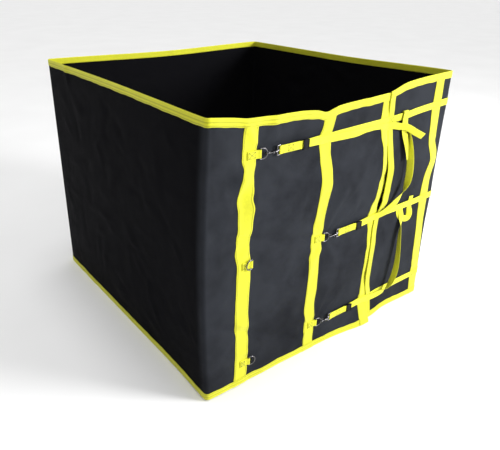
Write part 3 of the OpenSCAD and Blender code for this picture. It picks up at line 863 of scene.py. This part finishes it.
# The box stitches on tabs, leads and straps are drawn much darker than the long seams' yellow thread
m_thread_dark = thread_material("thread_dark", (0.030, 0.030, 0.014))
m_nickel = metal_material("nickel_plate", (0.16, 0.155, 0.16), 0.22)
m_spring = metal_material("spring_wire", (0.30, 0.30, 0.31), 0.30, 0.1)
m_black = plastic_material("moulded_black", (0.0035, 0.0035, 0.004))


def finish_piece(ob, mat, slot, body, *nodes):
    """Gives a piece its material, the body that it rides on, if any, and the CAD nodes it replaces. slot is not
    used.
    """
    ob.data.materials.append(mat)
    if body:
        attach(ob, body)
    if nodes:
        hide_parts(*nodes)
    return ob


# ------------------------------------------------------------------ the mesh sheet
# The CAD model splits the sheet and its two long bindings into these
PANELS = ["front", "left", "back", "right", "flap"]


def u_stations(coarse, fine):
    """Positions along the outline: close together on the strapped face and round the corners."""
    out = []
    spacing = [fine, 0.0028, coarse, 0.0035, coarse, 0.0035, coarse, 0.0028, fine]
    for a, b, s in zip(CUTS[:-1], CUTS[1:], spacing):
        out.append(np.linspace(a, b, max(2, int(round((b - a) / s)) + 1))[:-1])
    return np.concatenate(out + [[U_END]])


def build_sheet():
    us = u_stations(0.015, 0.0075)
    rows, hidden = 110, 0.0022
    top, low = edge_z(us) - hidden, edge_z(us, LOW) + hidden
    zz = low[:, None] + (top - low)[:, None] * np.linspace(0, 1, rows)[None]
    mid = place(np.repeat(us[:, None], rows, 1), zz, -MESH_T / 2)
    nor = grid_normals(mid, lambda n: (n * outward(us)[:, None]).sum(-1, keepdims=True) < 0)
    ob = slab("mesh_sheet", mid, nor, MESH_T, us[:, None], zz)
    return finish_piece(ob, m_mesh, "mesh", "wrap", *("mesh_" + p for p in PANELS))


sheet = build_sheet()

# ------------------------------------------------------------------ uprights and edge bindings
# The middle line of each upright, as (z, x) in mm; the uprights wander as they do in the photo
V1 = [(0, -439), (90, -432), (160, -432), (232, -434), (298, -438), (397, -433), (471, -428), (525, -437),
      (560, -434), (594, -432), (629, -433), (663, -431), (698, -437), (732, -434), (767, -428), (801, -424),
      (829, -421), (870, -423), (917, -421), (965, -418)]
V2 = [(0, -115), (110, -115), (204, -124), (277, -123), (353, -122), (400, -122), (430, -116), (468, -113),
      (561, -114), (640, -112), (718, -113), (782, -115), (841, -113), (965, -112)]
V3 = [(0, 184), (965, 184)]
V4 = [(0, 536), (83, 531), (263, 520), (434, 505), (476, 504), (500, 503), (524, 501), (561, 499), (598, 501),
      (625, 508), (645, 513), (665, 511), (685, 503), (708, 493), (745, 489), (780, 489), (812, 488),
      (845, 487), (881, 487), (965, 486)]
UPRIGHTS = {"v1": (V1, u_inner), "v2": (V2, u_inner), "v3": (V3, u_inner), "v4": (V4, u_flap)}
UPRIGHT_W = 0.050
# How much a band rises where it runs over an upright
RISE = 1.7 * MM


def over_upright(U, centre):
    return bump(U, centre, UPRIGHT_W / 2 + 0.5 * MM, 6 * MM)


def upright_lift(U, z):
    """How much a binding stands off where it runs over the uprights."""
    out = np.zeros_like(U)
    for pts, to_u in UPRIGHTS.values():
        out = np.maximum(out, over_upright(U, to_u(curve(z, pts))))
    return out * RISE


def build_upright(key):
    """Webbing from the hem to the top binding. Upright 3 also covers the hem's end, so it starts lower."""
    pts, to_u = UPRIGHTS[key]
    over_hem = key == "v3"
    start, end = (1.5 if over_hem else 4) * MM, COVER_H - 8 * MM
    rows, cells, stitch_line = 190, 12, 1.08
    top = edge_z(to_u(curve(np.array([end]), pts)))[0]
    low = edge_z(to_u(curve(np.array([start]), pts)), LOW)[0]
    z = np.linspace(low + start, top - (COVER_H - end), rows)
    width = UPRIGHT_W + 0.0008 * np.sin(z * 31) + 0.0006 * np.sin(z * 77 + 1)
    k = np.linspace(-0.5, 0.5, cells + 1)
    x = curve(z, pts)[:, None] + k[None] * width[:, None]
    off = np.full_like(z, 0.15 * MM + WEB / 2)
    if over_hem:
        off += RISE * (1 - step(z, low + 0.026, low + 0.036))
    mid = place(to_u(x), z[:, None], off[:, None])
    nor = grid_normals(mid, lambda n: n[..., 1:2] > 0)
    across = (k[None] + 0.5) * UPRIGHT_W
    ob = slab("upright_webbing_" + key, mid, nor, WEB - 0.1 * MM, across, z[:, None])
    for j in (stitch_line, cells - stitch_line):
        row_on("uprights", mid, nor, WEB, j)
    return finish_piece(ob, m_upright, "webbing", "wrap", "upright_" + key[1])


uprights = [build_upright(key) for key in UPRIGHTS]

# A binding's thickness, and how far its outer leg's middle lies from the mesh's outer face, in mm
BIND_T = WEB - 0.2 * MM
BIND_OUT = 0.85
# Cells of a folded binding that lie outside the cloth, and that face straight outward
OUTER_CELLS, FACE_CELLS = 8, 6


def folded(outer, inner, start, depth):
    """Across a binding folded over an edge: (distance in from the edge, outward) in mm, outer leg first."""
    c = -MESH_T / MM / 2
    r = BIND_OUT - c
    fold = [(start - depth * math.sin(math.radians(a)), c + r * math.cos(math.radians(a)))
            for a in (20, 45, 70, 90, 110, 135, 160)]
    return np.array([(d, BIND_OUT) for d in outer] + fold + [(d, c - r) for d in inner])


def finish_binding(name, mid, nor, prof, along, stitch_lines, nodes):
    ob = slab(name, mid, nor, BIND_T, run_along(prof)[None] * MM, along[:, None])
    for j in stitch_lines:
        row_on("bindings", mid, nor, WEB - 0.1 * MM, j)
    return finish_piece(ob, m_binding, "webbing", "wrap", *nodes)


def build_binding(name, top, nodes):
    """One long binding, folded over the sheet's top or bottom edge along the whole outline."""
    us = u_stations(0.012, 0.0065)
    z = edge_z(us, TOP if top else LOW)
    prof = folded((25, 21, 17, 13, 9, 5, 2.4), (2.4, 5, 10, 15, 20, 24), 2.0, 2.0)
    w = len(prof)
    zz = z[:, None] + (-1 if top else 1) * prof[:, 0][None] * MM
    wave = 0.7 * MM * np.sin(us * 43) + 0.5 * MM * np.sin(us * 117 + 2)
    zz[:, 0] += wave
    zz[:, 1] += wave * 0.8
    lift = upright_lift(us, z)
    if not top:
        lift = np.clip(lift - over_upright(us, u_inner(V3[0][1] * MM)) * RISE, 0, None)
    off = prof[:, 1][None] * MM + lift[:, None] * (np.arange(w) < OUTER_CELLS)[None] + 0.05 * MM
    mid = place(np.repeat(us[:, None], w, 1), zz, off)
    away = outward(us)[:, None]
    nor = grid_normals(mid, lambda n: (n[:, :FACE_CELLS] * away).sum((1, 2))[:, None, None] < 0)
    return finish_binding(name, mid, nor, prof, us, (0.7, w - 1.8), nodes)


def build_flap_edge():
    """The binding on the flap's free edge. Its ends are tucked in under the two long bindings."""
    rows = 190
    top, low = (edge_z(np.array([U_END]), heights)[0] for heights in (TOP, LOW))
    z = np.linspace(low + 0.004, top - 0.004, rows)
    prof = folded((25, 21, 17, 13, 9, 5, 2), (2, 6, 12, 18, 24), 1.6, 1.9)
    x = np.repeat(FLAP_X + (0.4 + prof[:, 0][None]) * MM, rows, 0)
    x[:, 0] += 0.6 * MM * np.sin(z * 60)
    tucked = (1 - step(z, low + 0.020, low + 0.027)) + step(z, top - 0.028, top - 0.021)
    outside = (np.arange(len(prof)) < OUTER_CELLS)[None]
    off = (prof[:, 1][None] + 0.05) * MM - 0.35 * MM * tucked[:, None] * outside
    mid = place(u_flap(x), z[:, None], off)
    nor = grid_normals(mid, lambda n: n[rows // 2, 2, 1] > 0)
    return finish_binding("binding_flap_edge", mid, nor, prof, z, (0.7,), ["flap_edge_binding"])


bindings = [build_binding("binding_top", True, ["top_binding_" + p for p in PANELS]),
            build_binding("binding_hem", False, ["hem_" + p for p in PANELS]),
            build_flap_edge()]

# ------------------------------------------------------------------ ring tabs
# Where each ring's straight leg stands, as (x, z) in mm: three that hold hooks, then the two free ones
RING_LEGS = [(-384, 829), (-82, 468), (-82, 110), (-403, 471), (-403, 90)]
# The upright's middle behind each ring, and how far back the tab's edge lies where the ring hangs slack
TAB_X = [-422, -113, -113, -422, -422]
SLACK_TAB = [0, 0, 0, 9, 9]
# Distances of a leg and of a hook's middle from the wall, and from a ring's leg to the hook's middle, in mm
LEG_OUT, HOOK_OUT, RING_SWING = 5.5, 9.5, 23.743
STRAP_W = 24.8 * MM
TAB_T, LEAD_T, STRAP_T = 1.45 * MM, 1.42 * MM, 1.5 * MM


def front_pt(x, out, z):
    """A point in mm on the strapped face, with out measured from the flat mesh face."""
    return np.array([x * MM, y_f - out * MM, z * MM])


def level_path(points, z):
    return np.array([front_pt(x, out, z) for x, out in points])


def turn(x, out, r, angles):
    """Points round a bar that stands at (x, out), in mm."""
    return [(x + r * math.cos(math.radians(a)), out + r * math.sin(math.radians(a))) for a in angles]


def nearest(mid, x, allowed):
    """The row of a webbing's grid whose middle is nearest to x in metres, among the allowed rows."""
    return float(np.argmin(np.abs(mid[:, MIDDLE, 0] - x) + ~allowed * 10))


def facing_out(nor, row):
    """Normals turned, if need be, so that those of this row point away from the strapped face."""
    return nor * (-1 if nor[row, MIDDLE, 1] > 0 else 1)


def build_tab(k):
    x, z = RING_LEGS[k]
    back = TAB_X[k] + 25 - SLACK_TAB[k] - 34
    path = [(back, 2.55), (back + 12, 2.5), (x - 14, 2.5), (x - 5, 2.5)]
    path += turn(x, LEG_OUT, 2.95, range(-90, 121, 30))
    path += [(x - 5.5, 6.2), (x - 10, 4.6), (x - 16, 4.15), (back + 12, 4.12), (back + 1.5, 4.12)]
    pts, at, _ = spline(level_path(path, z), 1.6 * MM)
    ob, mid, nor = ribbon("ring_tab_webbing_%d" % (k + 1), pts, at, 24.6 * MM, TAB_T, 0.3 * k)
    finish_piece(ob, m_strap, "webbing", "wrap", "ring_tab_%d" % (k + 1))
    # The stitch box lies on the top layer, between its cut end and the fold
    n = len(mid)
    upper = np.arange(n) > n * 0.62
    rows = [nearest(mid, want * MM, upper) for want in (x - 17, back + 4)]
    box_x("ring_tabs", mid, facing_out(nor, n - 3), TAB_T, *rows)


for k in range(5):
    build_tab(k)

# ------------------------------------------------------------------ leads between hook and ladder lock
HOOK_X = [x + RING_SWING for x, _ in RING_LEGS[:3]]
# From a hook's middle to the eye's far bar and to the ladder lock, in mm
EYE_END, LOCK_X = 49.0, 135.0


def build_lead(k):
    """Webbing through the eye, back under itself, on to the lock's first bar, and back again."""
    z = RING_LEGS[k][1]
    ex, lx, o = HOOK_X[k] + EYE_END, HOOK_X[k] + LOCK_X, HOOK_OUT
    path = [(ex + 34, o - 0.82), (ex + 20, o - 0.8), (ex + 9, o - 0.95), (ex + 4, o - 1.9)]
    path += turn(ex, o, 2.72, range(250, 100, -25))
    path += [(ex + 4, o + 1.9), (ex + 9, o + 1.0), (ex + 20, o + 0.85), (ex + 43, o + 0.85),
             (lx - 20, o + 0.85), (lx - 9, o + 1.0), (lx - 4, o + 1.8)]
    path += turn(lx, o, 2.5, range(70, -81, -25))
    path += [(lx - 4, o - 1.8), (lx - 9, o - 0.95), (lx - 20, o - 0.8), (ex + 38, o - 0.82)]
    pts, at, _ = spline(level_path(path, z), 1.8 * MM)
    ob, mid, nor = ribbon("hook_lead_webbing_%d" % (k + 1), pts, at, STRAP_W, LEAD_T, 0.7 * k)
    finish_piece(ob, m_strap, "webbing", "wrap", "hook_lead_%d" % (k + 1))
    nor = facing_out(nor, len(at) // 2)
    outer = mid[:, MIDDLE, 1] < y_f - (o + 0.2) * MM
    box_x("leads", mid, nor, LEAD_T, *(nearest(mid, (ex + d) * MM, outer) for d in (32, 54)))
    # Two bars of stitches across the lead beside the lock
    for d in (10, 13):
        j = np.linspace(0.8, 7.2, 12)
        ij = np.stack([0 * j + nearest(mid, (lx - d) * MM, outer), j], -1)
        stitches("leads", *on_grid(mid, nor, ij, LEAD_T), pitch=2.6 * MM, length=2.2 * MM)


for k in range(3):
    build_lead(k)

# ------------------------------------------------------------------ main straps with their tails
MID_BAR, WRAP_R = 11.0, 2.6
# Middle of the flap's edge binding, which the straps lie on
FLAP_BAND_X = 0.2245
# Room behind straps 1 and 2 for a tucked tail: its middle, half length and distance from the wall
TAIL_ROOM = {0: (0.296, 0.026, 5.0 * MM), 1: (0.380, 0.066, 6.0 * MM)}
# The doubled run over each strap, then the free end as it was tucked: (x, outward, z) in mm.
# Where outward is 0, the webbing lies on the strap below
TAILS = [
    [[-150, 0, 827], [-60, 0, 824], [40, 0, 821], [120, 0, 819], [170, 0, 818.5], [200, 0, 818],
     [226, 9.8, 818], [253, 16, 812], [284, 26, 806], [320, 36, 786], [361, 45, 765]],
    [[150, 0, 469], [190, 0, 472], [220, 15, 481], [248, 23, 498], [274, 31, 522],
     [300, 37, 556], [317, 40, 600], [321, 38, 652], [317, 33, 704], [314, 25, 752], [314, 14, 786],
     [307, 3.4, 820], [294, 2.8, 838], [290, 2.9, 853], [290, 3.6, 860], [290, 6.5, 863.5],
     [290, 9.6, 860], [289, 10.6, 850], [285, 11.4, 830], [284, 12.5, 808], [285, 15, 790], [289, 19, 772],
     [298, 26, 738], [305, 29, 710], [309, 31, 684]],
    [[130, 0, 109], [180, 0, 106], [230, 8.2, 102], [270, 10, 102], [296, 15, 108], [316, 21, 122],
     [331, 27, 150], [340, 30, 185], [344, 31, 224], [345, 29, 285], [347, 23, 345], [353, 17, 380],
     [357, 14, 402], [357, 11.5, 420], [355, 8.5, 438], [353, 5.4, 452], [352.5, 4.4, 462], [352, 4.2, 470],
     [351, 3.4, 474], [347, 2.6, 470], [342, 2.5, 458], [344, 3.4, 446], [351, 4.9, 434], [362, 6.8, 424],
     [375, 8.5, 417], [389, 10, 413], [401, 11, 416], [406, 10.5, 428], [408, 8, 442], [409, 4.6, 454],
     [410, 3.2, 466], [412, 3.2, 486], [414, 4.2, 503]],
]
# How far the webbing leans from flat at each of those points, in degrees
LEANS = [
    [0, 0, 0, 0, 0, 0, -8, -16, -24, -28, -28],
    [0, 0, 0, 8, 8, -35, -105, -120, -110, -82, -48, -8, 0, 0, 0, 0, 0, 0, 0, 0, 0, -5, 0, 10, 20],
    [0, 0, 0, 0, -10, -50, -85, -92, -86, -76, -64, -50, -25, 0, 10, 5, 0, 0, 0, 0, 0, 0, 0, 0, 0, 5, 18, 30,
     24, 8, 0, 0, 0],
]


def under_strap(x, z):
    """Height of the webbing that a strap lies on at x."""
    h = bump(x, FLAP_BAND_X, 0.014, 0.010)
    for pts, _ in UPRIGHTS.values():
        h = np.maximum(h, bump(x, curve(z, pts), 0.027, 0.012))
    return (0.2 + 1.55 * h) * MM


def main_out(k):
    """Outward position of strap k's middle plane along the strapped face, as arrays of x and out in metres."""
    lock_end = (HOOK_X[k] + LOCK_X + 26) * MM
    x = np.arange(lock_end, half_w - R, 3 * MM)
    z = strap_z(k, x)
    wall = np.where(x < (END_X + FLAP_X) / 2, t_inner(x, z), t_flap(np.maximum(x, 0.18), z))
    taut = (HOOK_OUT - WRAP_R) * MM * (1 - step(x, lock_end, lock_end + 0.12))
    out = np.maximum(wall + under_strap(x, z) + 0.95 * MM, taut)
    if k in TAIL_ROOM:
        at, half, room = TAIL_ROOM[k]
        tucked = bump(x, at, half, 0.030)
        out = np.maximum(out, room * tucked + out * (1 - tucked))
    for _ in range(3):
        out = np.maximum(out, smoothed(out, 4))
    return x, smoothed(out, 3)


def build_strap(k):
    """From the seam on the right wall, round the corner, through the ladder lock and back as a tail."""
    x, out = main_out(k)
    z = strap_z(k, x)
    on_side = CUTS[6] + (y_b - R - np.linspace(y_f + 0.130, y_f + R, 9))
    round_corner = np.linspace(CUTS[7], CUTS[8], 6)[1:-1]
    side = place(np.concatenate([on_side, round_corner]), strap_z(k, half_w), 1.1 * MM)
    front = np.stack([x, y_f - out, z], -1)[::-5]
    lx, lz, o = HOOK_X[k] + LOCK_X, RING_LEGS[k][1], HOOK_OUT
    loop = [(lx + 17, o - WRAP_R), (lx + MID_BAR, o - WRAP_R)]
    loop += turn(lx + MID_BAR, o, WRAP_R, range(-120, -331, -30))
    loop += [(lx + 13.9, o + 0.3), (lx + 14.9, o - 0.5), (lx + 17, o - 0.68), (lx + 21, o - 0.68)]
    tail = [front_pt(px, po or np.interp(px * MM, x, out) / MM + 1.75, pz) for px, po, pz in TAILS[k]]
    path = np.concatenate([side, front, level_path(loop, lz), tail])
    pts, at, par = spline(path, 2.6 * MM)
    lean = np.interp(par, np.arange(len(path)), [0] * (len(path) - len(tail)) + LEANS[k])
    cup = 0.7 * MM * step(at, at[-1] - 0.45, at[-1] - 0.2)
    ob, mid, nor = ribbon("strap_webbing_%d" % (k + 1), pts, at, STRAP_W, STRAP_T, 1.3 * k, lean, cup)
    finish_piece(ob, m_strap, "webbing", None, "strap_%d" % (k + 1))
    start, end = (tuple(front_pt(lx + d, o, lz)) for d in (110, 24))
    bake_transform(ob)
    # Sewn to the flap's edge and to upright 4, and to the side wall at its first end
    lock_side = np.argmin(np.linalg.norm(pts - front_pt(lx + 17, o - WRAP_R, lz), axis=1))
    main = (np.arange(len(at)) < lock_side) & (mid[:, MIDDLE, 1] <= y_f + 1 * MM)
    on_front = facing_out(nor, int(nearest(mid, 0.4, main)))
    on_wall = nor * (1 if nor[6, MIDDLE, 0] > 0 else -1)
    edge_x = FLAP_BAND_X + float(slide_flap(np.array(FLAP_BAND_X), strap_z(k, FLAP_BAND_X)))
    v4_x = float(curve(strap_z(k, 0.51), V4))
    for c, half in ((edge_x, 0.010), (v4_x, 0.020)):
        box_x("straps", mid, on_front, STRAP_T, nearest(mid, c + half, main), nearest(mid, c - half, main))
    box_x("straps", mid, on_wall, STRAP_T, 3.0, 12.0)


for k in range(3):
    build_strap(k)
for group in ("uprights", "bindings"):
    finish_stitches(group, m_thread)
for group in ("ring_tabs", "leads", "straps"):
    finish_stitches(group, m_thread_dark)


# ------------------------------------------------------------------ hardware: CAD shapes with soft edges
def dress(node, mat, bevel):
    """A finish and rounded edges on a CAD shape, which stays where it is."""
    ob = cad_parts[node]
    ob.data.materials.clear()
    ob.data.materials.append(mat)
    ob.modifiers.new("weld", "WELD").merge_threshold = 0.02 * MM
    soft = ob.modifiers.new("soft_edges", "BEVEL")
    soft.width, soft.segments, soft.limit_method, soft.angle_limit = bevel, 3, "ANGLE", math.radians(40)
    soft.harden_normals = True
    ob.data.polygons.foreach_set("use_smooth", np.ones(len(ob.data.polygons), bool))


for k in range(1, 6):
    dress("d_ring_%d" % k, m_nickel, 0.3 * MM)
for k in range(1, 4):
    for part in ("hook_body_", "hook_bolt_", "hook_eye_"):
        dress(part + str(k), m_nickel, 0.3 * MM)
    dress("ladder_lock_%d" % k, m_black, 0.5 * MM)


def build_spring(k):
    """The coil behind the bolt, a fixed helix along the CAD spring's length."""
    lo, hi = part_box("hook_spring_%d" % k)
    wire, coil, turns, steps, sides = 0.3 * MM, 1.25 * MM, 7, 24, 8
    y, z = (lo.y + hi.y) / 2, (lo.z + hi.z) / 2
    count = turns * steps
    a = np.linspace(0, 2 * math.pi * turns, count + 1)[:, None]
    b = np.linspace(0, 2 * math.pi, sides, endpoint=False)[None]
    along = np.linspace(lo.x + wire, hi.x - wire, count + 1)[:, None]
    r = coil + wire * np.cos(b)
    verts = np.stack([along + wire * np.sin(b), y + r * np.cos(a), z + r * np.sin(a)], -1).reshape(-1, 3)
    idx = np.arange(len(verts)).reshape(-1, sides)
    nxt = np.roll(idx, -1, 1)
    faces = np.stack([idx[:-1], nxt[:-1], nxt[1:], idx[1:]], -1).reshape(-1, 4).tolist()
    faces += [idx[0].tolist()[::-1], idx[-1].tolist()]
    ob = new_object("bolt_spring_%d" % k, verts, faces)
    fix_normals(ob)
    finish_piece(ob, m_spring, "spring_steel", None, "hook_spring_%d" % k)
    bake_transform(ob)


for k in range(1, 4):
    build_spring(k)


# ------------------------------------------------------------------ floor and light
def lay_floor():
    me = bpy.data.meshes.new("floor")
    s = 60.0
    me.from_pydata([(-s, -s, 0), (s, -s, 0), (s, s, 0), (-s, s, 0)], [], [(0, 1, 2, 3)])
    floor = link(bpy.data.objects.new("floor", me))
    m, n, shader = new_material("pale_floor")
    n.feed(shader["Base Color"], n.ramp(n.noise(n.position(), 1.5, 3, 0.5), (0.3, 0.86), (0.7, 0.89)))
    shader["Roughness"].default_value = 0.9
    shader["Specular IOR Level"].default_value = 0.1
    me.materials.append(m)


def surround():
    """White walls, dimmer to the left, seen as plain white behind the object."""
    world = bpy.data.worlds.new("studio")
    world.use_nodes = True
    n = Nodes(world.node_tree)
    side = n.split(n.new("TexCoord").outputs["Generated"])[0]
    tone = n.ramp(n.math("MULTIPLY_ADD", side, 0.5, 0.5), (0.10, 0.38), (0.80, 0.48))
    background = world.node_tree.nodes["Background"].inputs
    n.feed(background["Color"], n.mix(n.new("LightPath").outputs["Is Camera Ray"], tone, (1.0, 1.0, 1.0)))
    background["Strength"].default_value = 1.0
    bpy.context.scene.world = world
    bpy.context.scene.view_settings.view_transform = "Standard"


def light():
    """A soft key from the front right, and a wide, weak light from overhead."""
    at, aim = Vector((2.6, -3.6, 2.1)), Vector((0, 0, 0.4))
    key = bpy.data.lights.new("key", "AREA")
    key.shape, key.size, key.energy = "DISK", 1.6, 275
    ob = link(bpy.data.objects.new("key", key))
    ob.location = at
    ob.rotation_mode = "QUATERNION"
    ob.rotation_quaternion = (aim - at).to_track_quat("-Z", "Y")
    overhead = bpy.data.lights.new("overhead", "SUN")
    overhead.energy, overhead.angle = 1.7, math.radians(35)
    link(bpy.data.objects.new("overhead", overhead))


lay_floor()
surround()
light()
